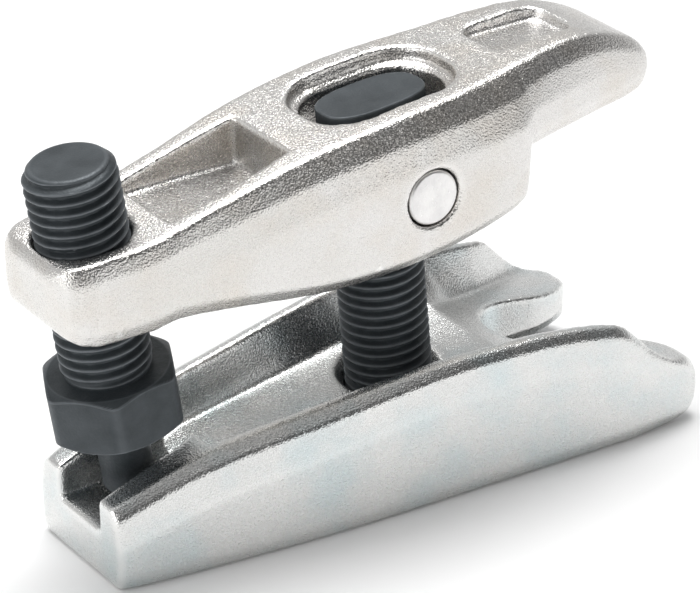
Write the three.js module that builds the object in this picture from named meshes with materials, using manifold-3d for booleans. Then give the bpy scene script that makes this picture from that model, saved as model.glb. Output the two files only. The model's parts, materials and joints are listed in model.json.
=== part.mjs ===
// Ball joint separator: a forged fork jaw, a forged rocker arm on a centre screw, and a pressure bolt
// that swings the arm. Millimetres, +Z up, +X towards the fork, origin on the jaw's flat underside.
import * as THREE from "three";
import { mergeVertices } from "three/addons/utils/BufferGeometryUtils.js";
import Module from "manifold-3d";

const wasm = await Module();
wasm.setup();

const RADIANS = Math.PI / 180;
const JAW_TOP = 40; // above the jaw and below the arm
const JAW_STEPS = 2; // sections between two stations
const TROUGH_STEPS = 2;
const ARM_STEPS = 2;
const COUNTERSINK_LOW = 15;
const COUNTERSINK_DEPTH = 4.5;
const GAP = 0.3; // clearance between neighbouring solids
const PAST = 5; // how far a cutter reaches past the face it opens

// Screws: M16 threads, shown at their major diameter.
const THREAD_R = 8;
const THREAD_BORE_R = 8.4;
const THREAD_CHAMFER = 1.2;
const ROUND_SIDES = 40;

// Jaw. Each station gives the outer section at one x: half-width of the bottom, half-width of the
// flank, height of the ridge and half-width of the ridge.
const JAW_STATIONS = [
  [-55.3, 12.0, 13.2, 15.2, 10.6],
  [-52, 13.2, 14.2, 16.4, 11.0],
  [-42, 15.0, 15.8, 19.8, 11.9],
  [-32, 16.4, 17.2, 21.8, 12.9],
  [-18, 18.3, 19.0, 23.5, 14.7],
  [-4, 19.6, 20.3, 25.2, 16.6],
  [12, 20.7, 21.4, 26.5, 18.5],
  [30, 21.9, 22.6, 26.1, 20.1],
  [42, 22.7, 23.5, 24.5, 20.9],
  [47, 23.0, 23.8, 22.9, 21.2],
  [51.5, 22.9, 23.8, 18.6, 21.4],
  [57, 22.6, 23.6, 15.0, 21.6],
  [61.5, 22.2, 23.2, 12.6, 21.2],
  [64, 20.8, 22.0, 10.2, 20.2],
];
const JAW_CORNER = 2.4; // height of the rounded lower edge
const JAW_SHOULDER = 3.6; // depth of the rounded ridge
const JAW_ROLL = 0.6; // how far the shoulder's middle stands out
// The trough: floor height, floor half-width, rim height, rim half-width.
const TROUGH_STATIONS = [
  [-35, 12.2, 8.2, 21.4, 10.2],
  [-30, 13.8, 9.2, 22.2, 11.2],
  [-16, 15.3, 10.2, 23.8, 13.0],
  [-2, 16.8, 11.0, 25.4, 15.0],
  [12, 18.0, 11.6, 26.5, 16.6],
  [21, 18.2, 11.4, 26.4, 17.4],
  [27, 19.6, 11.2, 26.2, 18.0],
  [33, 17.8, 13.4, 25.6, 18.6],
  [42, 16.4, 16.2, 24.4, 19.4],
  [48, 15.4, 18.4, 21.4, 20.8],
  [54, 14.2, 20.4, 17.0, 22.6],
  [60, 12.8, 22.4, 15.0, 24.5],
  [70, 10.2, 25.0, 13.0, 27.0],
];
const TROUGH_DISH = 0.6; // how far its walls sink below a straight slope
const JAW_BACK_X = JAW_STATIONS[0][0];
const JAW_END_X = JAW_STATIONS[JAW_STATIONS.length - 1][0];
const FORK_HALF_OPENING = 9.6;
const FORK_CENTRE_X = 42.4;
const FORK_FLARE_X = 50; // from here the prong tips round away
const FORK_MOUTH_HALF_WIDTH = 19.6;
const FORK_TURN = [60.5, 10.4]; // where the inner edge's two tangents meet
const FORK_FLARE_END_X = 64.2;
const RELIEF_BACK_X = 27; // hollow under the fork
const RELIEF_TOP_Z = 8;
const RELIEF_TOP_HALF_WIDTH = 14;
const RELIEF_HALF_WIDTH = 20.4;
const TIP_LIFT_X = 56; // from here the underside curves up to the prong tips
const TIP_LIFT_TURN_X = 63.4;
const TIP_LIFT_Z = 8.6;
const GROOVE_HALF_WIDTH = 6.5;
const GROOVE_FLOOR_Z = 9.4;
const GROOVE_END_X = -40;

// Centre screw: rises from the jaw's web and leans back towards the bolt.
const SCREW_FOOT_X = 11;
const SCREW_TILT = 4.8 * RADIANS;
const SCREW_START = 2.5;
const SCREW_END = 51;
const SCREW_NECK = 4; // length of the cone between the thread and the eye
const EYE_HEIGHT = 59.6;
const EYE_TOP = 72;
const EYE_BOTTOM = 49;
const EYE_SHIFT = 1; // the squeezed end sits a little towards the fork
const EYE_HALF_WIDTH = 10.2;
const EYE_HALF_THICKNESS = 5.8;
const EYE_CORNER_R = 5.4;

// Cross pin, pressed through the arm; its axis is the arm's pivot.
const PIN_R = 5;
const PIN_HALF_LENGTH = 18.9;
const PIN_CHAMFER = 0.5;
const PIVOT_X = SCREW_FOOT_X - EYE_HEIGHT * Math.sin(SCREW_TILT);
const PIVOT_Z = EYE_HEIGHT * Math.cos(SCREW_TILT);

// Arm. Each station gives bottom height, bottom half-width, flank half-width, top height and
// top half-width.
const ARM_STATIONS = [
  [-62.3, 51.2, 5.4, 6.6, 58.9, 5.2],
  [-60.8, 48.8, 9.4, 10.4, 61.1, 9.0],
  [-56, 47.0, 11.8, 12.9, 62.0, 11.1],
  [-45.4, 47.1, 12.2, 13.5, 62.7, 11.6],
  [-41, 48.0, 12.5, 13.9, 64.0, 11.9],
  [-29, 47.0, 13.4, 15.2, 67.2, 12.4],
  [-19, 46.0, 14.5, 16.8, 70.0, 13.1],
  [-9, 45.6, 15.4, 18.2, 72.0, 13.8],
  [4, 46.4, 16.2, 19.2, 73.8, 14.3],
  [14, 48.0, 16.4, 19.2, 74.6, 13.9],
  [24, 50.2, 16.0, 18.6, 75.5, 12.6],
  [27.2, 51.2, 15.2, 17.8, 75.9, 12.1],
  [28.6, 60.8, 14.8, 16.8, 76.1, 11.9],
  [40, 61.3, 12.4, 14.2, 77.0, 10.4],
  [46, 61.6, 11.2, 12.9, 76.6, 9.9],
  [51.5, 61.8, 10.3, 11.8, 75.2, 9.2],
  [56.8, 62.2, 9.4, 10.7, 72.8, 8.4],
  [60, 63.0, 8.2, 9.4, 70.2, 7.4],
  [61.3, 64.8, 6.0, 7.0, 68.0, 5.6],
];
const ARM_CORNER = 3; // height of the rounded lower edge
const ARM_SHOULDER = 9; // depth of the sloping shoulder below the top
const ARM_ROLL = 0.7; // how far the shoulder's middle stands out
const SLOT_CENTRE = 1.4; // towards the fork from the screw's axis
const SLOT_HALF_LENGTH = 13.4;
const SLOT_HALF_WIDTH = 8.7;
const SLOT_RIM = 1.4;
const SLOT_RIM_HEIGHT = 71.4;
const ARM_POCKET_FLOOR_Z = 61.8;
const ARM_POCKET_STATIONS = [[-40, 8.6], [-30, 9.0], [-16.5, 8.4]];
const NOSE_POCKET = { x: 37.5, z: 74.6, halfLength: 8.5, halfWidth: 5.6, cornerR: 2.5 };

// Pressure bolt: thread above an integral hexagon, plain shank and thrust ball below it.
const BOLT_X = -48.2;
const BOLT_HEX_TOP_Z = 35.9;
const BOLT_TILT = 8 * RADIANS;
const BOLT_THREAD_LENGTH = 40;
const HEX_CORNER_R = 12.7; // 22 mm across flats
const HEX_HEIGHT = 10.7;
const HEX_CHAMFER = 1.4;
const HEX_TRIM_RISE = 3; // how far out the chamfer's cone runs
const HEX_TURN = 33.9 * RADIANS;
const SHANK_R = 4.6;
const SHANK_END = 23.7;
const BALL_R = 3.4;
const BALL_CENTRE = 22.9;

const PLATED_JAW = new THREE.MeshStandardMaterial({ color: 0xb9bec1, roughness: 0.42, metalness: 0.9 });
const PLATED_ARM = new THREE.MeshStandardMaterial({ color: 0xc8c2b6, roughness: 0.45, metalness: 0.9 });
const BLACK_STEEL = new THREE.MeshStandardMaterial({ color: 0x2e363b, roughness: 0.5, metalness: 0.7 });
const BRIGHT_STEEL = new THREE.MeshStandardMaterial({ color: 0xd0d2d3, roughness: 0.3, metalness: 0.95 });

const IN_PLACE = new THREE.Matrix4();

// A closed geometry as a manifold solid, placed by a matrix.
function solid(geometry, matrix = IN_PLACE) {
  const placed = geometry.index ? geometry.toNonIndexed() : geometry.clone();
  placed.deleteAttribute("normal");
  placed.deleteAttribute("uv");
  placed.applyMatrix4(matrix);
  const merged = mergeVertices(placed, 1e-4);
  const vertProperties = new Float32Array(merged.attributes.position.array);
  const triVerts = new Uint32Array(merged.index.array);
  return new wasm.Manifold(new wasm.Mesh({ numProp: 3, vertProperties, triVerts }));
}

// A manifold solid as a named mesh.
function mesh(name, made, material) {
  const data = made.getMesh();
  const geometry = new THREE.BufferGeometry();
  geometry.setAttribute("position", new THREE.BufferAttribute(new Float32Array(data.vertProperties), 3));
  geometry.setIndex(new THREE.BufferAttribute(new Uint32Array(data.triVerts), 1));
  geometry.computeVertexNormals();
  const result = new THREE.Mesh(geometry, material);
  result.name = name;
  return result;
}

// A plan outline (x, y) raised from z = low to z = high.
function upright(shape, low, high, steps = 8) {
  const geometry = new THREE.ExtrudeGeometry(shape, {
    depth: high - low,
    bevelEnabled: false,
    curveSegments: steps,
  });
  return solid(geometry, new THREE.Matrix4().makeTranslation(0, 0, low));
}

// A plan outline from its +Y half, listed from back to front and mirrored to -Y.
function mirroredPlan(half) {
  const shape = new THREE.Shape();
  const other = half.map(([x, y]) => [x, -y]).reverse();
  [...half, ...other].forEach(([x, y], i) => (i ? shape.lineTo(x, y) : shape.moveTo(x, y)));
  shape.closePath();
  return shape;
}

// Stations between the given ones, each column following its own smooth curve.
function stations(rows, steps) {
  const last = rows.length - 1;
  const at = (row, column) => rows[Math.min(Math.max(row, 0), last)][column];
  const made = [];
  for (let row = 0; row < last; row++) {
    for (let step = 0; step < steps; step++) {
      const t = step / steps;
      made.push(
        rows[row].map((value, column) => {
          const slopeHere = slope(at(row - 1, column), value, at(row + 1, column));
          const slopeNext = slope(value, at(row + 1, column), at(row + 2, column));
          return hermite(value, at(row + 1, column), slopeHere, slopeNext, t);
        }),
      );
    }
  }
  made.push(rows[last]);
  return made;
}

// A slope that never overshoots: zero where the neighbours turn round, else the smaller rise doubled.
function slope(before, here, after) {
  const rise = here - before;
  const next = after - here;
  if (rise * next <= 0) return 0;
  return Math.sign(rise) * Math.min(2 * Math.abs(rise), 2 * Math.abs(next), Math.abs(rise + next) / 2);
}

function hermite(start, end, slopeStart, slopeEnd, t) {
  const rise = 3 * (end - start) - 2 * slopeStart - slopeEnd;
  const bend = 2 * (start - end) + slopeStart + slopeEnd;
  return start + slopeStart * t + rise * t * t + bend * t * t * t;
}

// A section at x from the (y, z) points of its +Y half, lowest first.
function mirroredRing(x, half) {
  const right = half.map(([y, z]) => new THREE.Vector3(x, y, z));
  const left = half.map(([y, z]) => new THREE.Vector3(x, -y, z)).reverse();
  return [...right, ...left];
}

// A closed solid through rings of equal length, listed from -X to +X.
function loft(rings) {
  const count = rings[0].length;
  const triangles = [];
  const at = (ring, i) => rings[ring][i % count];
  for (let ring = 0; ring + 1 < rings.length; ring++) {
    for (let i = 0; i < count; i++) {
      triangles.push(at(ring, i), at(ring, i + 1), at(ring + 1, i));
      triangles.push(at(ring, i + 1), at(ring + 1, i + 1), at(ring + 1, i));
    }
  }
  const last = rings.length - 1;
  const pairs = count / 2;
  for (let i = 0; i + 1 < pairs; i++) {
    const across = count - 1 - i;
    triangles.push(at(0, i), at(0, across), at(0, i + 1));
    triangles.push(at(0, i + 1), at(0, across), at(0, across - 1));
    triangles.push(at(last, i), at(last, i + 1), at(last, across));
    triangles.push(at(last, i + 1), at(last, across - 1), at(last, across));
  }
  return solid(new THREE.BufferGeometry().setFromPoints(triangles));
}

// A placement whose local +Z leans back (towards -X) by an angle, from a foot at (x, 0, z).
function leaning(x, z, tilt) {
  return new THREE.Matrix4()
    .makeTranslation(x, 0, z)
    .multiply(new THREE.Matrix4().makeRotationY(-tilt));
}

// A turned body from (radius, height) pairs that start and end on the axis.
function turned(profile, matrix, sides = ROUND_SIDES) {
  const points = profile.map(([r, h]) => new THREE.Vector2(r, h));
  const geometry = new THREE.LatheGeometry(points, sides);
  const upZ = new THREE.Matrix4().makeRotationX(Math.PI / 2);
  return solid(geometry, matrix.clone().multiply(upZ));
}

function rod(radius, low, high, matrix, sides = ROUND_SIDES) {
  return turned([[0, low], [radius, low], [radius, high], [0, high]], matrix, sides);
}

function roundedRectangle(halfLength, halfWidth, radius) {
  const shape = new THREE.Shape();
  const x = halfLength - radius;
  const y = halfWidth - radius;
  shape.absarc(x, y, radius, 0, Math.PI / 2);
  shape.absarc(-x, y, radius, Math.PI / 2, Math.PI);
  shape.absarc(-x, -y, radius, Math.PI, 1.5 * Math.PI);
  shape.absarc(x, -y, radius, 1.5 * Math.PI, 2 * Math.PI);
  shape.closePath();
  return shape;
}

// A rounded rectangular outline raised along +Z of the frame given.
function raisedOblong(halfLength, halfWidth, cornerR, height, frame) {
  const shape = roundedRectangle(halfLength, halfWidth, cornerR);
  const geometry = new THREE.ExtrudeGeometry(shape, {
    depth: height,
    bevelEnabled: false,
    curveSegments: 8,
  });
  return solid(geometry, frame);
}

const screwFrame = leaning(SCREW_FOOT_X, 0, SCREW_TILT);
const boltFrame = leaning(BOLT_X, BOLT_HEX_TOP_Z, BOLT_TILT);
const pinFrame = new THREE.Matrix4()
  .makeTranslation(PIVOT_X, 0, PIVOT_Z)
  .multiply(new THREE.Matrix4().makeRotationX(Math.PI / 2));

function jawSection([x, bottom, flank, ridge, ridgeHalf]) {
  return mirroredRing(x, [
    [bottom, 0],
    [flank, JAW_CORNER],
    [flank, ridge - 2 * JAW_SHOULDER],
    [(flank + ridgeHalf) / 2 + JAW_ROLL, ridge - JAW_SHOULDER / 2],
    [ridgeHalf, ridge],
  ]);
}

function troughSection([x, floor, floorHalf, rim, rimHalf]) {
  return mirroredRing(x, [
    [floorHalf, floor],
    [floorHalf + (rimHalf - floorHalf) / 3, (2 * floor + rim) / 3 - TROUGH_DISH],
    [rimHalf, rim],
    [rimHalf + PAST / 2, rim + 2 * PAST],
  ]);
}

// The fork's U, with the prong tips rounding away at its mouth.
function forkCutter() {
  const [turnX, turnY] = FORK_TURN;
  const shape = new THREE.Shape();
  shape.moveTo(FORK_FLARE_X, -FORK_HALF_OPENING);
  shape.quadraticCurveTo(turnX, -turnY, FORK_FLARE_END_X, -FORK_MOUTH_HALF_WIDTH);
  shape.lineTo(FORK_FLARE_END_X + PAST, -FORK_MOUTH_HALF_WIDTH);
  shape.lineTo(FORK_FLARE_END_X + PAST, FORK_MOUTH_HALF_WIDTH);
  shape.lineTo(FORK_FLARE_END_X, FORK_MOUTH_HALF_WIDTH);
  shape.quadraticCurveTo(turnX, turnY, FORK_FLARE_X, FORK_HALF_OPENING);
  shape.lineTo(FORK_CENTRE_X, FORK_HALF_OPENING);
  shape.absarc(FORK_CENTRE_X, 0, FORK_HALF_OPENING, Math.PI / 2, 1.5 * Math.PI);
  shape.closePath();
  return upright(shape, -PAST, JAW_TOP);
}

// The hollow under the fork, which leaves the prongs' inner edges thin.
function reliefCutter() {
  const section = (x) =>
    mirroredRing(x, [
      [RELIEF_HALF_WIDTH, -1],
      [RELIEF_TOP_HALF_WIDTH, RELIEF_TOP_Z],
    ]);
  return loft([section(RELIEF_BACK_X), section(JAW_END_X + PAST)]);
}

// Clears the curve under the prong tips.
function tipLiftCutter() {
  const shape = new THREE.Shape();
  shape.moveTo(TIP_LIFT_X, -PAST);
  shape.lineTo(TIP_LIFT_X, 0);
  shape.quadraticCurveTo(TIP_LIFT_TURN_X, 0, JAW_END_X + 1, TIP_LIFT_Z);
  shape.lineTo(JAW_END_X + PAST, TIP_LIFT_Z);
  shape.lineTo(JAW_END_X + PAST, -PAST);
  shape.closePath();
  const geometry = new THREE.ExtrudeGeometry(shape, {
    depth: 2 * JAW_TOP,
    bevelEnabled: false,
    curveSegments: 8,
  });
  geometry.translate(0, 0, -JAW_TOP);
  return solid(geometry, new THREE.Matrix4().makeRotationX(Math.PI / 2));
}

function grooveCutter() {
  const shape = new THREE.Shape();
  shape.moveTo(JAW_BACK_X - PAST, -GROOVE_HALF_WIDTH);
  shape.lineTo(GROOVE_END_X, -GROOVE_HALF_WIDTH);
  shape.absarc(GROOVE_END_X, 0, GROOVE_HALF_WIDTH, -Math.PI / 2, Math.PI / 2);
  shape.lineTo(JAW_BACK_X - PAST, GROOVE_HALF_WIDTH);
  shape.closePath();
  return upright(shape, GROOVE_FLOOR_Z, JAW_TOP);
}

function lowerJaw() {
  const countersink = turned(
    [
      [0, COUNTERSINK_LOW],
      [THREAD_BORE_R, COUNTERSINK_LOW],
      [THREAD_BORE_R + COUNTERSINK_DEPTH / 2, COUNTERSINK_LOW + COUNTERSINK_DEPTH],
      [0, COUNTERSINK_LOW + COUNTERSINK_DEPTH],
    ],
    screwFrame,
  );
  return loft(stations(JAW_STATIONS, JAW_STEPS).map(jawSection))
    .subtract(loft(stations(TROUGH_STATIONS, TROUGH_STEPS).map(troughSection)))
    .subtract(grooveCutter())
    .subtract(forkCutter())
    .subtract(reliefCutter())
    .subtract(tipLiftCutter())
    .subtract(rod(THREAD_BORE_R, -PAST, JAW_TOP, screwFrame))
    .subtract(countersink);
}

function centreScrew() {
  const thread = turned(
    [
      [0, SCREW_START],
      [THREAD_R - THREAD_CHAMFER, SCREW_START],
      [THREAD_R, SCREW_START + THREAD_CHAMFER],
      [THREAD_R, SCREW_END - SCREW_NECK],
      [EYE_HALF_THICKNESS, SCREW_END],
      [0, SCREW_END],
    ],
    screwFrame,
  );
  const eyeFrame = screwFrame.clone().multiply(new THREE.Matrix4().makeTranslation(EYE_SHIFT, 0, EYE_BOTTOM));
  const eye = raisedOblong(EYE_HALF_WIDTH, EYE_HALF_THICKNESS, EYE_CORNER_R, EYE_TOP - EYE_BOTTOM, eyeFrame);
  return thread.add(eye).subtract(rod(PIN_R + GAP, -PIN_HALF_LENGTH, PIN_HALF_LENGTH, pinFrame));
}

function crossPin() {
  const inner = PIN_HALF_LENGTH - PIN_CHAMFER;
  return turned(
    [
      [0, -PIN_HALF_LENGTH],
      [PIN_R - PIN_CHAMFER, -PIN_HALF_LENGTH],
      [PIN_R, -inner],
      [PIN_R, inner],
      [PIN_R - PIN_CHAMFER, PIN_HALF_LENGTH],
      [0, PIN_HALF_LENGTH],
    ],
    pinFrame,
  );
}

function armSection([x, low, lowHalf, flank, top, topHalf]) {
  const shoulder = Math.max(top - ARM_SHOULDER, (low + top) / 2);
  return mirroredRing(x, [
    [lowHalf, low],
    [flank, Math.min(low + ARM_CORNER, (low + top) / 2 - 0.5)],
    [flank, shoulder],
    [(flank + topHalf) / 2 + ARM_ROLL, (shoulder + top) / 2 + ARM_ROLL],
    [topHalf, top],
  ]);
}

function upperArm() {
  const slotFrame = screwFrame.clone().multiply(new THREE.Matrix4().makeTranslation(SLOT_CENTRE, 0, JAW_TOP));
  const rimFrame = screwFrame
    .clone()
    .multiply(new THREE.Matrix4().makeTranslation(SLOT_CENTRE, 0, SLOT_RIM_HEIGHT));
  const nose = NOSE_POCKET;
  const noseFrame = new THREE.Matrix4().makeTranslation(nose.x, 0, nose.z);
  const pocket = upright(mirroredPlan(ARM_POCKET_STATIONS), ARM_POCKET_FLOOR_Z, 2 * JAW_TOP);
  return loft(stations(ARM_STATIONS, ARM_STEPS).map(armSection))
    .subtract(raisedOblong(SLOT_HALF_LENGTH, SLOT_HALF_WIDTH, SLOT_HALF_WIDTH - 0.1, JAW_TOP, slotFrame))
    .subtract(
      raisedOblong(SLOT_HALF_LENGTH + SLOT_RIM, SLOT_HALF_WIDTH + SLOT_RIM, SLOT_HALF_WIDTH, PAST, rimFrame),
    )
    .subtract(pocket)
    .subtract(raisedOblong(nose.halfLength, nose.halfWidth, nose.cornerR, PAST, noseFrame))
    .subtract(rod(THREAD_BORE_R, -PAST, BOLT_THREAD_LENGTH, boltFrame))
    .subtract(rod(PIN_R + GAP, -2 * PIN_HALF_LENGTH, 2 * PIN_HALF_LENGTH, pinFrame));
}

function pressureBolt() {
  const thread = turned(
    [
      [0, -1],
      [THREAD_R, -1],
      [THREAD_R, BOLT_THREAD_LENGTH - THREAD_CHAMFER],
      [THREAD_R - THREAD_CHAMFER, BOLT_THREAD_LENGTH],
      [0, BOLT_THREAD_LENGTH],
    ],
    boltFrame,
  );
  const hexFrame = boltFrame.clone().multiply(new THREE.Matrix4().makeRotationZ(HEX_TURN));
  const hex = rod(HEX_CORNER_R, -HEX_HEIGHT, 0, hexFrame, 6);
  const flat = HEX_CORNER_R * Math.cos(Math.PI / 6);
  const hexTrim = turned(
    [
      [0, -HEX_HEIGHT],
      [flat, -HEX_HEIGHT],
      [flat + HEX_TRIM_RISE, HEX_CHAMFER - HEX_HEIGHT],
      [flat + HEX_TRIM_RISE, -HEX_CHAMFER],
      [flat, 0],
      [0, 0],
    ],
    boltFrame,
  );
  const shank = rod(SHANK_R, -SHANK_END, -HEX_HEIGHT + 1, boltFrame, 28);
  const seat = solid(new THREE.SphereGeometry(BALL_R + GAP, 20, 12), ballFrame);
  return thread.add(hex.intersect(hexTrim)).add(shank).subtract(seat);
}

const ballFrame = boltFrame.clone().multiply(new THREE.Matrix4().makeTranslation(0, 0, -BALL_CENTRE));

const separator = new THREE.Group();
const arm = new THREE.Group();
arm.add(mesh("upper_arm", upperArm(), PLATED_ARM));
arm.add(mesh("cross_pin", crossPin(), BRIGHT_STEEL));
const bolt = new THREE.Group();
bolt.add(mesh("pressure_bolt", pressureBolt(), BLACK_STEEL));
bolt.add(mesh("thrust_ball", solid(new THREE.SphereGeometry(BALL_R, 18, 12), ballFrame), BRIGHT_STEEL));
separator.add(mesh("lower_jaw", lowerJaw(), PLATED_JAW));
separator.add(mesh("centre_screw", centreScrew(), BLACK_STEEL));
separator.add(arm, bolt);

export default separator;
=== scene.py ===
"""Ball joint separator: a forged fork jaw, a forged rocker arm on a centre screw, a pressure bolt.

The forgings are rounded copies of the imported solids. The screws, hexagon, eye, pin and ball are
built from radius formulas. Lengths are in millimetres until they become mesh vertices in metres.
"""

import json
import math

import bpy
import numpy as np
from mathutils import Matrix, Vector


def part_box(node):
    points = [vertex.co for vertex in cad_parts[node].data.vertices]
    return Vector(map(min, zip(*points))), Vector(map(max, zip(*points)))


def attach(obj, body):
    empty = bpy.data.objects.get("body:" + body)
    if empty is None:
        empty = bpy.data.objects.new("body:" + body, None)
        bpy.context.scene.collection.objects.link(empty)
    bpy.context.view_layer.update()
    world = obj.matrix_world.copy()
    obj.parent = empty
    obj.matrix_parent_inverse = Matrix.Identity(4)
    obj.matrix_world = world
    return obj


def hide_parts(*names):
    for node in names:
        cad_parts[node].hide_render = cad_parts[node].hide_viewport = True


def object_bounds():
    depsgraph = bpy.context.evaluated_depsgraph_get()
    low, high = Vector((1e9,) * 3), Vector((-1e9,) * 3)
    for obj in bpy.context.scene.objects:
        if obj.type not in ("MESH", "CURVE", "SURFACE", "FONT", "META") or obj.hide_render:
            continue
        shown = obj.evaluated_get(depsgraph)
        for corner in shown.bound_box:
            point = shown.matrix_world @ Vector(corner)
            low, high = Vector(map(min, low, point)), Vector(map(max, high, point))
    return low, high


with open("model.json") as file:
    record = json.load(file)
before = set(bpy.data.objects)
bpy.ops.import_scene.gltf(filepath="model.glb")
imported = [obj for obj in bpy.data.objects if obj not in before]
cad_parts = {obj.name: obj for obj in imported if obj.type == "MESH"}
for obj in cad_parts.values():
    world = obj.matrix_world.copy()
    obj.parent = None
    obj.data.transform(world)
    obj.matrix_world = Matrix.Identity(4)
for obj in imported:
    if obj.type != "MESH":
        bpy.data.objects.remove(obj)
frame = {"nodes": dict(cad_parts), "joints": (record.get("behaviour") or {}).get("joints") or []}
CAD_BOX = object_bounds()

MM = 0.001

# Forgings: how finely they are remeshed and how far their edges are rounded.
FORGING_VOXEL = 0.45
FORGING_ROUNDING = 0.5
FORGING_ROUNDING_PASSES = 14
FORGING_SHARP_DEGREES = 70.0
PIECE_SHARP_DEGREES = 38.0

# Threads
THREAD_R = 8.0
THREAD_PITCH = 2.0
THREAD_DEPTH = 1.15
THREAD_ROW = 0.125  # height between two rows of vertices
THREAD_CREST = THREAD_PITCH / 16  # half the width of the flat crest
THREAD_ROOT = THREAD_PITCH * 3 / 8  # from the crest's middle to the root's edge
THREAD_EASING = 0.25  # how much the flanks curve into crest and root
THREAD_FADED_SHARE = 0.55  # share of the depth that is left where a thread has faded away
RUN_OUT = 1.6  # height over which a thread fades away
ROUND_SIDES = 120
FIRST_ROW = 0.1  # step from a flat end to the first row beside it

# Centre screw, along its own axis, with the pin's middle at the pin's height
PIN_HEIGHT = 59.6
SCREW_START = 2.5
SCREW_CHAMFER = 1.8
SCREW_FADE_SHIFT = 1.0  # the thread starts already partly faded in
SCREW_THREAD_END = 47.0
SCREW_NECK = [(-1.5, 1.2), (-1.7, 2.6)]  # added to the thread's radius and its end

# The screw's eye
EYE_BOTTOM = 49.0
EYE_SINK = 2.0  # how far the eye starts inside the neck
EYE_TOP = 72.0
EYE_SHIFT = 1.0  # its middle, off the screw's axis
EYE_HALF_WIDTH = 10.2
EYE_HALF_THICKNESS = 5.8
EYE_NECK_R = 6.6
EYE_GROWN = 0.3  # share of the eye's height where it has its full width
EYE_SQUARENESS = 0.7  # 0 would be an ellipse
EYE_ROLL = 0.35  # radius of the rolled top edge
EYE_ROLL_START = 0.986  # share of the eye's height where that edge begins
EYE_SIDES = 96
EYE_ROWS = 28
EYE_ROLL_ROWS = 8
EYE_TOP_SHARES = (0.9, 0.7, 0.45, 0.2)  # the top's inner rings, as shares of its size
EYE_TOP_DISH = 0.35

# Cross pin
PIN_CLEARANCE = 0.3
PIN_RIM = 0.7  # radius of its rounded rims
PIN_RIM_ROWS = 7
PIN_SIDES = 96
BORE_SIDES = 64

# Pressure bolt, along its own axis from the hexagon's top
BOLT_THREAD_LENGTH = 40.0
BOLT_THREAD_START = 0.3
BOLT_THREAD_STOP = 0.15  # from the last thread row to the bolt's end
BOLT_FADE_PAST_END = 4.0  # keeps the thread at full depth up to the bolt's end
BOLT_CHAMFER = 1.5
BOLT_FOOT = [(0.4, 0.0), (-0.5, 0.1)]  # added to the thread's radius and the hexagon's top
BOLT_END = [(-0.15, -0.02), (-0.6, 0.0)]  # added to the chamfer's radius and the bolt's end
BOLT_END_INNER_R = 2.5
HEX_FLAT = 11.0  # from the axis to a flat
HEX_HEIGHT = 10.7
HEX_TURN = math.radians(33.9)
HEX_EDGE_SOFTNESS = 0.0042  # larger is rounder
HEX_FACE_R = 10.6
HEX_FACE_INSET = 0.3
HEX_CHAMFER = 1.5
HEX_CHAMFER_SLOPE = math.tan(math.radians(30))
HEX_CHAMFER_ROWS = 13
HEX_SIDE_INSET = 1.9  # from an end to the first row of the plain sides
HEX_SIDE_ROWS = 6
SHANK_R = 4.6
SHANK_END = 23.7
SHANK_TIP = [(-0.8, 0.0), (-0.25, 0.25), (0.0, 0.8)]  # added to the shank's radius and its end
SHANK_FILLET = [(0.0, -0.6), (0.3, -0.15), (0.8, 0.0)]  # the same, at the hexagon's underside
BALL_R = 3.4
BALL_CENTRE = 22.9
BALL_ROWS = 34
BALL_SIDES = 64

# Colours: the main one, the one it drifts to, and for a forging the tint of its patches
JAW_COLOURS = [(0.71, 0.71, 0.70), (0.66, 0.665, 0.66), (0.60, 0.66, 0.67)]
ARM_COLOURS = [(0.71, 0.695, 0.68), (0.67, 0.655, 0.63), (0.67, 0.63, 0.585)]
RUBBED_PLATING = (0.86, 0.85, 0.83)
BLACK_COLOURS = [(0.030, 0.037, 0.042), (0.060, 0.070, 0.077)]
RUBBED_BLACK = (0.24, 0.26, 0.28)
BRIGHT_COLOURS = [(0.80, 0.79, 0.78), (0.66, 0.65, 0.65)]
JAW_GRAIN = 0.06  # height of the peened grain
ARM_GRAIN = 0.08
SMOOTH_GRAIN = 0.05

# Camera: its place and the way it looks, in the frame of the part
CAMERA_PLACE = (-282.0, -413.9, 296.4)
CAMERA_LOOK = (0.5006, 0.7311, -0.4634)
CAMERA_ROLL = math.radians(0.61)
LENS = 165.0
SENSOR_WIDTH = 36.0

# Studio: (share of the way up, grey), dark in front of the object and lighter behind it
FRONT_SKY = [(0.0, 1.0), (0.08, 0.85), (0.24, 0.10), (0.80, 0.04), (1.0, 0.5)]
BACK_SKY = [(0.0, 1.0), (0.25, 0.75), (0.48, 0.42), (0.75, 0.70), (1.0, 1.0)]
SKY_CHANGE = (-0.35, 0.25)  # where along Y the front turns into the back
# Soft panels: name, place and size in metres, power in watts
PANELS = [
    ("left_panel", (-0.9, -0.1, 0.45), (0.8, 0.5), 3.0),
    ("front_panel", (0.25, -1.0, 0.35), (1.0, 0.35), 1.5),
    ("top_panel", (0.1, 0.25, 1.1), (0.7, 0.5), 11.0),
]
PANEL_TARGET = (0, 0, 0.03)
FLOOR_REACH = 6.0
FLOOR_GAP = 0.0001


# ---------------------------------------------------------------- node helpers


def node_maker(tree):
    """A function that adds a node to a tree and sets its properties."""

    def make(kind, **settings):
        node = tree.nodes.new(kind)
        for key, value in settings.items():
            setattr(node, key, value)
        return node

    return make


def nodes_of(name):
    """A new material, its shader, its node maker and its linker."""
    material = bpy.data.materials.new(name)
    material.use_nodes = True
    tree = material.node_tree
    return material, tree.nodes["Principled BSDF"], node_maker(tree), tree.links.new


def put(node, values):
    """Set a node's own sockets by name."""
    for name, value in values.items():
        node.inputs[name].default_value = value


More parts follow.
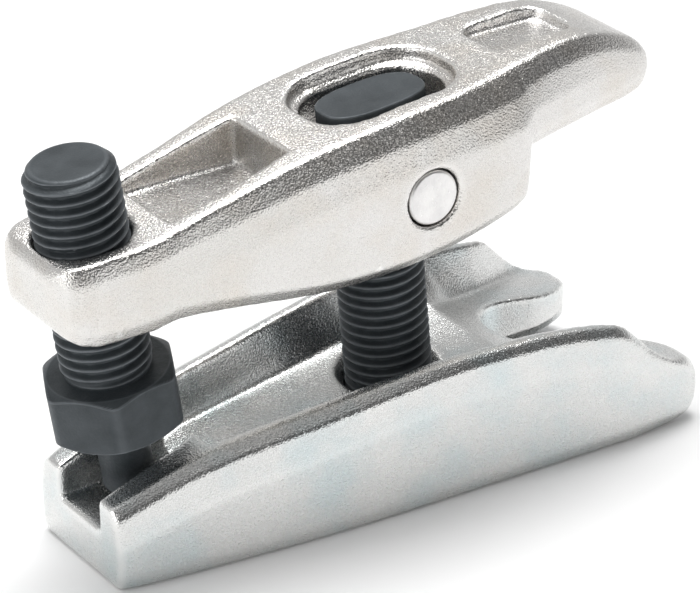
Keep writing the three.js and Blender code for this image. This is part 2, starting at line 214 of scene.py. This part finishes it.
def ramp(make, link, source, stops):
    """A colour ramp on a value, from (position, grey) stops."""
    node = make("ShaderNodeValToRGB")
    elements = node.color_ramp.elements
    while len(elements) < len(stops):
        elements.new(0.5)
    for element, (position, grey) in zip(elements, stops):
        element.position = position
        element.color = (grey, grey, grey, 1.0)
    link(source, node.inputs["Fac"])
    return node.outputs["Color"]


def noise(make, link, where, scale, detail, roughness=0.55):
    """Fractal noise over the object's own coordinates."""
    node = make("ShaderNodeTexNoise")
    put(node, {"Scale": scale, "Detail": detail, "Roughness": roughness})
    link(where, node.inputs["Vector"])
    return node.outputs["Fac"]


def mixed(make, link, factor, a, b):
    """Colour a mixed with colour b by a factor; a colour is a socket or a plain value."""
    node = make("ShaderNodeMix", data_type="RGBA")
    link(factor, node.inputs[0])
    for socket, value in ((node.inputs[6], a), (node.inputs[7], b)):
        if isinstance(value, bpy.types.NodeSocket):
            link(value, socket)
        else:
            socket.default_value = (*value, 1.0)
    return node.outputs[2]


def added(make, link, a, b, share):
    """a plus b times a share."""
    node = make("ShaderNodeMath", operation="MULTIPLY_ADD")
    link(b, node.inputs[0])
    node.inputs[1].default_value = share
    link(a, node.inputs[2])
    return node.outputs[0]


def bump(make, link, height, grain):
    """A surface normal from a height, for a grain of a given height in millimetres."""
    node = make("ShaderNodeBump")
    put(node, {"Strength": 1.0, "Distance": grain * MM})
    link(height, node.inputs["Height"])
    return node.outputs["Normal"]


# ---------------------------------------------------------------- materials


def plated_forging(name, colours, grain):
    """Shot-blasted steel under bright plating: fine peened dimples, soft colour drift, rubbed edges."""
    material, shader, make, link = nodes_of(name)
    light, dark, tint = colours
    where = make("ShaderNodeTexCoord").outputs["Object"]
    edges = make("ShaderNodeNewGeometry").outputs["Pointiness"]
    worn = ramp(make, link, edges, [(0.50, 0.0), (0.56, 1.0)])
    drift = ramp(make, link, noise(make, link, where, 45.0, 2.0), [(0.35, 0.0), (0.65, 1.0)])
    patches = ramp(make, link, noise(make, link, where, 90.0, 4.0), [(0.45, 0.0), (0.72, 1.0)])
    fine = noise(make, link, where, 3000.0, 3.0, 0.6)
    colour = mixed(make, link, drift, light, dark)
    colour = mixed(make, link, patches, colour, tint)
    colour = mixed(make, link, worn, colour, RUBBED_PLATING)
    link(colour, shader.inputs["Base Color"])
    put(shader, {"Metallic": 1.0})
    rough = ramp(make, link, fine, [(0.3, 0.20), (0.7, 0.33)])
    rough = mixed(make, link, worn, rough, (0.17, 0.17, 0.17))
    link(rough, shader.inputs["Roughness"])
    dimples = make("ShaderNodeTexVoronoi", feature="SMOOTH_F1")
    put(dimples, {"Scale": 3300.0, "Smoothness": 0.7})
    link(where, dimples.inputs["Vector"])
    height = added(make, link, dimples.outputs["Distance"], fine, 0.8)
    height = added(make, link, height, noise(make, link, where, 1200.0, 2.0), 0.25)
    link(bump(make, link, height, grain), shader.inputs["Normal"])
    return material


def black_oxide(name, rough_skin):
    """Blackened steel: grey with an even sheen, lighter where crests and edges are rubbed."""
    material, shader, make, link = nodes_of(name)
    where = make("ShaderNodeTexCoord").outputs["Object"]
    edges = make("ShaderNodeNewGeometry").outputs["Pointiness"]
    rubbed = ramp(make, link, edges, [(0.51, 0.0), (0.60, 1.0)])
    cloud = ramp(make, link, noise(make, link, where, 160.0, 4.0), [(0.3, 0.0), (0.7, 1.0)])
    fine = noise(make, link, where, 2600.0, 3.0)
    colour = mixed(make, link, cloud, *BLACK_COLOURS)
    colour = mixed(make, link, rubbed, colour, RUBBED_BLACK)
    link(colour, shader.inputs["Base Color"])
    put(shader, {"Metallic": 0.35, "Specular IOR Level": 0.45})
    link(ramp(make, link, fine, [(0.3, 0.40), (0.7, 0.56)]), shader.inputs["Roughness"])
    height = fine
    if rough_skin:
        height = added(make, link, fine, noise(make, link, where, 700.0, 2.0), 1.4)
    link(bump(make, link, height, SMOOTH_GRAIN), shader.inputs["Normal"])
    return material


def ground_steel(name):
    """Smooth bright steel with a faint grain and a few dull spots."""
    material, shader, make, link = nodes_of(name)
    where = make("ShaderNodeTexCoord").outputs["Object"]
    spots = ramp(make, link, noise(make, link, where, 260.0, 4.0), [(0.4, 0.0), (0.75, 1.0)])
    fine = noise(make, link, where, 1700.0, 3.0)
    link(mixed(make, link, spots, *BRIGHT_COLOURS), shader.inputs["Base Color"])
    put(shader, {"Metallic": 1.0})
    link(ramp(make, link, fine, [(0.3, 0.26), (0.7, 0.42)]), shader.inputs["Roughness"])
    link(bump(make, link, fine, SMOOTH_GRAIN), shader.inputs["Normal"])
    return material


def pale_floor():
    """Matt white with a very soft unevenness."""
    material, shader, make, link = nodes_of("floor_white")
    where = make("ShaderNodeTexCoord").outputs["Object"]
    soft = noise(make, link, where, 3.0, 1.0)
    link(ramp(make, link, soft, [(0.0, 0.90), (1.0, 0.93)]), shader.inputs["Base Color"])
    put(shader, {"Roughness": 0.9, "Specular IOR Level": 0.1})
    return material


# ---------------------------------------------------------------- shapes


def shade(made, sharp_degrees=PIECE_SHARP_DEGREES):
    """Smooth shading, with edges sharper than an angle left hard."""
    data = made.data
    data.polygons.foreach_set("use_smooth", [True] * len(data.polygons))
    data.set_sharp_from_angle(angle=math.radians(sharp_degrees))
    data.update()


def piece(name, vertices, faces, place, material):
    """A smooth mesh object from vertices in millimetres in a local frame."""
    spots = np.asarray(vertices, float) * MM
    data = bpy.data.meshes.new(name)
    data.from_pydata([place @ Vector(spot) for spot in spots], [], faces)
    data.validate()
    data.materials.append(material)
    made = bpy.data.objects.new(name, data)
    bpy.context.scene.collection.objects.link(made)
    shade(made)
    return made


def grid_body(name, rings, place, material):
    """A closed body through rings of equal length, lowest first, with a fan at each end."""
    sides = len(rings[0])
    vertices = [tuple(spot) for ring_spots in rings for spot in ring_spots]
    faces = []
    for row in range(len(rings) - 1):
        for side in range(sides):
            here = row * sides + side
            after = row * sides + (side + 1) % sides
            faces.append((here, after, after + sides, here + sides))
    top = (len(rings) - 1) * sides
    for start, end_ring, order in ((0, rings[0], -1), (top, rings[-1], 1)):
        centre = len(vertices)
        vertices.append(tuple(np.mean(end_ring, axis=0)))
        for side in range(sides):
            pair = (start + side, start + (side + 1) % sides)
            faces.append((*pair[::order], centre))
    return piece(name, vertices, faces, place, material)


def angles(sides=ROUND_SIDES):
    """Evenly spread angles for one full turn."""
    return np.arange(sides) * 2 * math.pi / sides


def ring(radius, height, sides=ROUND_SIDES):
    """A ring of points at one height, with one radius or a radius per side."""
    turn = angles(sides)
    radii = np.broadcast_to(radius, turn.shape)
    return np.stack([radii * np.cos(turn), radii * np.sin(turn), np.full(sides, height)], axis=1)


def turned(radius, height, steps):
    """Plain rings at steps from a radius and a height."""
    return [ring(radius + out, height + up) for out, up in steps]


def leaning(origin, up):
    """A frame at an origin with +Z along a direction in the X-Z plane, in metres."""
    z = Vector(up).normalized()
    y = Vector((0, 1, 0))
    x = y.cross(z)
    placed = Matrix((x, y, z)).transposed().to_4x4()
    placed.translation = Vector(origin)
    return placed


def baked(made):
    """The object with its modifiers applied."""
    seen = made.evaluated_get(bpy.context.evaluated_depsgraph_get())
    skin = bpy.data.meshes.new_from_object(seen)
    made.modifiers.clear()
    made.data = skin
    return made


def forging(name, node, material):
    """A rounded, smooth-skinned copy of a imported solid."""
    source = frame["nodes"][node]
    made = bpy.data.objects.new(name, source.data.copy())
    bpy.context.scene.collection.objects.link(made)
    remesh = made.modifiers.new("skin", "REMESH")
    remesh.mode = "VOXEL"
    remesh.voxel_size = FORGING_VOXEL * MM
    rounding = made.modifiers.new("rounding", "SMOOTH")
    rounding.factor = FORGING_ROUNDING
    rounding.iterations = FORGING_ROUNDING_PASSES
    baked(made)
    made.data.materials.clear()
    made.data.materials.append(material)
    shade(made, FORGING_SHARP_DEGREES)
    return made


# ---------------------------------------------------------------- screws


def thread_radius(height, low, high):
    """Radius per side of a right-hand thread at one height, fading out at both ends."""
    phase = (height / THREAD_PITCH - angles() / (2 * math.pi)) % 1.0
    across = abs(phase - 0.5) * THREAD_PITCH
    depth = np.clip((across - THREAD_CREST) / (THREAD_ROOT - THREAD_CREST), 0, 1)
    eased = depth - THREAD_EASING * np.sin(2 * math.pi * depth) / (2 * math.pi)
    fade = np.clip(min(height - low, high - height) / RUN_OUT, 0, 1)
    return THREAD_R - THREAD_DEPTH * (eased * fade + (1 - fade) * THREAD_FADED_SHARE)


def thread_rings(low, high, fade_low, fade_high):
    """Heights and radii of a thread's rows, lowest first."""
    rows = round((high - low) / THREAD_ROW)
    heights = np.linspace(low, high, rows + 1)
    return [(height, thread_radius(height, fade_low, fade_high)) for height in heights]


def screw_thread(place, material):
    """The centre screw below its eye: chamfered start, thread and plain neck."""
    first = SCREW_START + FIRST_ROW
    fade_low = SCREW_START - SCREW_FADE_SHIFT
    rings = [ring(THREAD_R - SCREW_CHAMFER - FIRST_ROW, SCREW_START)]
    for height, radii in thread_rings(first, SCREW_THREAD_END, fade_low, SCREW_THREAD_END):
        cone = THREAD_R - SCREW_CHAMFER + height - SCREW_START
        rings.append(ring(np.minimum(radii, cone), height))
    rings += turned(THREAD_R, SCREW_THREAD_END, SCREW_NECK)
    return grid_body("centre_screw_thread", rings, place, material)


def bent(values, power):
    """Values raised to a power, with their signs kept."""
    return np.sign(values) * np.abs(values) ** power


def eye_ring(level):
    """The eye at a share of its height: round at the neck, a rounded oblong above."""
    turn = angles(EYE_SIDES)
    height = EYE_BOTTOM - EYE_SINK + level * (EYE_TOP - EYE_BOTTOM + EYE_SINK)
    grown = np.clip(level / EYE_GROWN, 0, 1)
    grown = grown * grown * (3 - 2 * grown)
    rolled = np.clip((level - EYE_ROLL_START) / (1 - EYE_ROLL_START), 0, 1)
    inset = EYE_ROLL * (1 - math.sqrt(1 - rolled * rolled))
    half_x = EYE_NECK_R + (EYE_HALF_WIDTH - EYE_NECK_R) * grown - inset
    half_y = EYE_NECK_R + (EYE_HALF_THICKNESS - EYE_NECK_R) * grown - inset
    power = 2 / (2 + EYE_SQUARENESS * grown)
    x = half_x * bent(np.cos(turn), power) + EYE_SHIFT * grown
    y = half_y * bent(np.sin(turn), power)
    return np.stack([x, y, np.full(turn.shape, height)], axis=1)


def screw_eye(place, material):
    """The screw's squeezed end, with a softly rolled, slightly dished top and a bore for the pin."""
    sides = np.linspace(0, EYE_ROLL_START, EYE_ROWS)
    roll = np.sin(np.linspace(0, math.pi / 2, EYE_ROLL_ROWS))[1:]
    levels = np.concatenate([sides, EYE_ROLL_START + (1 - EYE_ROLL_START) * roll])
    rings = [eye_ring(level) for level in levels]
    top = rings[-1]
    centre = top.mean(axis=0)
    for share in EYE_TOP_SHARES:
        inner = centre + (top - centre) * share
        inner[:, 2] = EYE_TOP - EYE_TOP_DISH * (1 - share)
        rings.append(inner)
    return bored(grid_body("centre_screw_eye", rings, place, material))


def pin_place():
    """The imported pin's frame, with +Z along its length, and its radius and half length."""
    low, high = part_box("cross_pin")
    place = Matrix.Translation((low + high) / 2) @ Matrix.Rotation(math.pi / 2, 4, "X")
    return place, (high.z - low.z) / 2 / MM, (high.y - low.y) / 2 / MM


def bored(made):
    """The object with a hole for the pin."""
    place, radius, reach = pin_place()
    ends = [ring(radius + PIN_CLEARANCE, height, BORE_SIDES) for height in (-reach, reach)]
    rod = grid_body("drill", ends, place, made.data.materials[0])
    cut = made.modifiers.new("bore", "BOOLEAN")
    cut.operation = "DIFFERENCE"
    cut.object = rod
    cut.solver = "EXACT"
    baked(made)
    bpy.data.objects.remove(rod)
    shade(made)
    return made


def cross_pin(material):
    """A pin with softly rounded rims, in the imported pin's place."""
    place, radius, half = pin_place()
    roll = np.linspace(0, math.pi / 2, PIN_RIM_ROWS)
    rings = []
    for end, turns in ((-1, roll), (1, roll[::-1])):
        for angle in turns:
            rim_radius = radius - PIN_RIM + PIN_RIM * math.sin(angle)
            height = end * (half - PIN_RIM + PIN_RIM * math.cos(angle))
            rings.append(ring(rim_radius, height, PIN_SIDES))
    return grid_body("cross_pin_bright", rings, place, material)


def hexagon_radius():
    """Radius per side of the hexagon, with slightly rounded corners."""
    turn = angles()
    flats = [turn - HEX_TURN - k * math.pi / 3 + math.pi / 3 for k in range(6)]
    reach = np.stack([np.cos(flat) for flat in flats]) / HEX_FLAT
    sharpness = 1 / HEX_EDGE_SOFTNESS
    softened = np.log(np.exp(reach * sharpness - sharpness / HEX_FLAT).sum(axis=0))
    return 1 / (softened / sharpness + 1 / HEX_FLAT)


def hexagon_rings():
    """The hexagon with a conical chamfer at both ends, lowest ring first."""
    sides = hexagon_radius()
    depths = np.linspace(0, HEX_CHAMFER, HEX_CHAMFER_ROWS)
    cut = [np.minimum(sides, HEX_FACE_R + depth / HEX_CHAMFER_SLOPE) for depth in depths]
    lower = [ring(radii, depth - HEX_HEIGHT) for radii, depth in zip(cut, depths)]
    plain = np.linspace(HEX_SIDE_INSET - HEX_HEIGHT, -HEX_SIDE_INSET, HEX_SIDE_ROWS)
    upper = [ring(radii, -depth) for radii, depth in zip(cut, depths)]
    return lower + [ring(sides, height) for height in plain] + upper[::-1]


def pressure_bolt(place, material):
    """Shank, hexagon and thread in one body, lowest ring first."""
    rings = turned(SHANK_R, -SHANK_END, SHANK_TIP) + turned(SHANK_R, -HEX_HEIGHT, SHANK_FILLET)
    rings.append(ring(HEX_FACE_R - HEX_FACE_INSET, -HEX_HEIGHT))
    rings += hexagon_rings()
    rings.append(ring(HEX_FACE_R - HEX_FACE_INSET, 0.0))
    rings += turned(THREAD_R, 0.0, BOLT_FOOT)
    last = BOLT_THREAD_LENGTH - BOLT_THREAD_STOP
    fade_high = BOLT_THREAD_LENGTH + BOLT_FADE_PAST_END
    end_radius = THREAD_R - BOLT_CHAMFER
    for height, radii in thread_rings(BOLT_THREAD_START, last, 0, fade_high):
        cone = end_radius + BOLT_THREAD_LENGTH - height
        rings.append(ring(np.minimum(radii, cone), height))
    rings += turned(end_radius, BOLT_THREAD_LENGTH, BOLT_END)
    rings.append(ring(BOLT_END_INNER_R, BOLT_THREAD_LENGTH))
    return grid_body("pressure_bolt_black", rings, place, material)


def thrust_ball(place, material):
    """The ball in the shank's tip."""
    rings = []
    for rise in np.linspace(-math.pi / 2, math.pi / 2, BALL_ROWS)[1:-1]:
        rings.append(ring(BALL_R * math.cos(rise), BALL_R * math.sin(rise) - BALL_CENTRE, BALL_SIDES))
    return grid_body("thrust_ball_bright", rings, place, material)


# ---------------------------------------------------------------- stage


def area_light(name, place, size, energy):
    """A soft rectangular panel that faces the object."""
    lamp = bpy.data.lights.new(name, "AREA")
    lamp.shape = "RECTANGLE"
    lamp.size, lamp.size_y = size
    lamp.energy = energy
    made = bpy.data.objects.new(name, lamp)
    made.location = place
    made.rotation_mode = "QUATERNION"
    made.rotation_quaternion = (Vector(PANEL_TARGET) - Vector(place)).to_track_quat("-Z", "Y")
    bpy.context.scene.collection.objects.link(made)


def studio():
    """A grey room, dark in front of the object and lighter behind it, with soft panels."""
    world = bpy.data.worlds.new("studio")
    bpy.context.scene.world = world
    world.use_nodes = True
    tree = world.node_tree
    make, link = node_maker(tree), tree.links.new
    split = make("ShaderNodeSeparateXYZ")
    link(make("ShaderNodeTexCoord").outputs["Generated"], split.inputs[0])
    front = ramp(make, link, split.outputs["Z"], FRONT_SKY)
    back = ramp(make, link, split.outputs["Z"], BACK_SKY)
    change = make("ShaderNodeMapRange")
    put(change, {"From Min": SKY_CHANGE[0], "From Max": SKY_CHANGE[1]})
    link(split.outputs["Y"], change.inputs["Value"])
    backdrop = tree.nodes["Background"]
    link(mixed(make, link, change.outputs["Result"], front, back), backdrop.inputs["Color"])
    put(backdrop, {"Strength": 1.0})
    for name, place, size, energy in PANELS:
        area_light(name, place, size, energy)


def floor():
    """A wide plain floor just under the object."""
    low = CAD_BOX[0].z - FLOOR_GAP
    reach = FLOOR_REACH
    corners = [(-reach, -reach, low), (reach, -reach, low), (reach, reach, low), (-reach, reach, low)]
    data = bpy.data.meshes.new("floor")
    data.from_pydata(corners, [], [(0, 1, 2, 3)])
    data.materials.append(pale_floor())
    made = bpy.data.objects.new("floor", data)
    bpy.context.scene.collection.objects.link(made)


def camera():
    """The camera at its place, looking its way, rolled slightly."""
    look = Vector(CAMERA_LOOK).normalized()
    level = look.cross(Vector((0, 0, 1))).normalized()
    above = level.cross(look)
    right = level * math.cos(CAMERA_ROLL) - above * math.sin(CAMERA_ROLL)
    upward = above * math.cos(CAMERA_ROLL) + level * math.sin(CAMERA_ROLL)
    lens = bpy.data.cameras.new("camera")
    lens.lens = LENS
    lens.sensor_width = SENSOR_WIDTH
    lens.clip_start = 0.01
    lens.clip_end = 20.0
    made = bpy.data.objects.new("camera", lens)
    placed = Matrix((right, upward, -look)).transposed().to_4x4()
    placed.translation = Vector(CAMERA_PLACE) * MM
    made.matrix_world = placed
    bpy.context.scene.collection.objects.link(made)
    bpy.context.scene.camera = made


# ---------------------------------------------------------------- assembly


def joint(name):
    """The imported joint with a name."""
    return next(j for j in frame["joints"] if j["name"] == name)


def stands_for(made, node, body):
    """Hide a CAD node and put the piece that stands for it on its body."""
    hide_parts(node)
    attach(made, body)


def build():
    """Every piece of the object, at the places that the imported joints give."""
    jaw_steel = plated_forging("plated_jaw", JAW_COLOURS, JAW_GRAIN)
    arm_steel = plated_forging("plated_arm", ARM_COLOURS, ARM_GRAIN)
    screw_black = black_oxide("black_screw", False)
    head_black = black_oxide("black_bolt", True)
    bright = ground_steel("bright_steel")

    screw_up = Vector(joint("height_adjust")["axis"])
    pivot = Vector(joint("arm_pivot")["pos_m"])
    screw_place = leaning(pivot - screw_up * PIN_HEIGHT * MM, screw_up)
    bolt_turn = joint("bolt_turn")
    bolt_place = leaning(bolt_turn["pos_m"], -Vector(bolt_turn["axis"]))

    jaw = forging("lower_jaw_forged", "lower_jaw", jaw_steel)
    arm = forging("upper_arm_forged", "upper_arm", arm_steel)
    stands_for(jaw, "lower_jaw", "jaw")
    stands_for(arm, "upper_arm", "arm")
    stands_for(screw_thread(screw_place, screw_black), "centre_screw", "screw")
    stands_for(screw_eye(screw_place, head_black), "centre_screw", "screw")
    stands_for(pressure_bolt(bolt_place, head_black), "pressure_bolt", "bolt")
    stands_for(thrust_ball(bolt_place, bright), "thrust_ball", "thrust")
    stands_for(cross_pin(bright), "cross_pin", "arm")


bpy.context.scene.view_settings.view_transform = "Standard"
build()
floor()
studio()
camera()
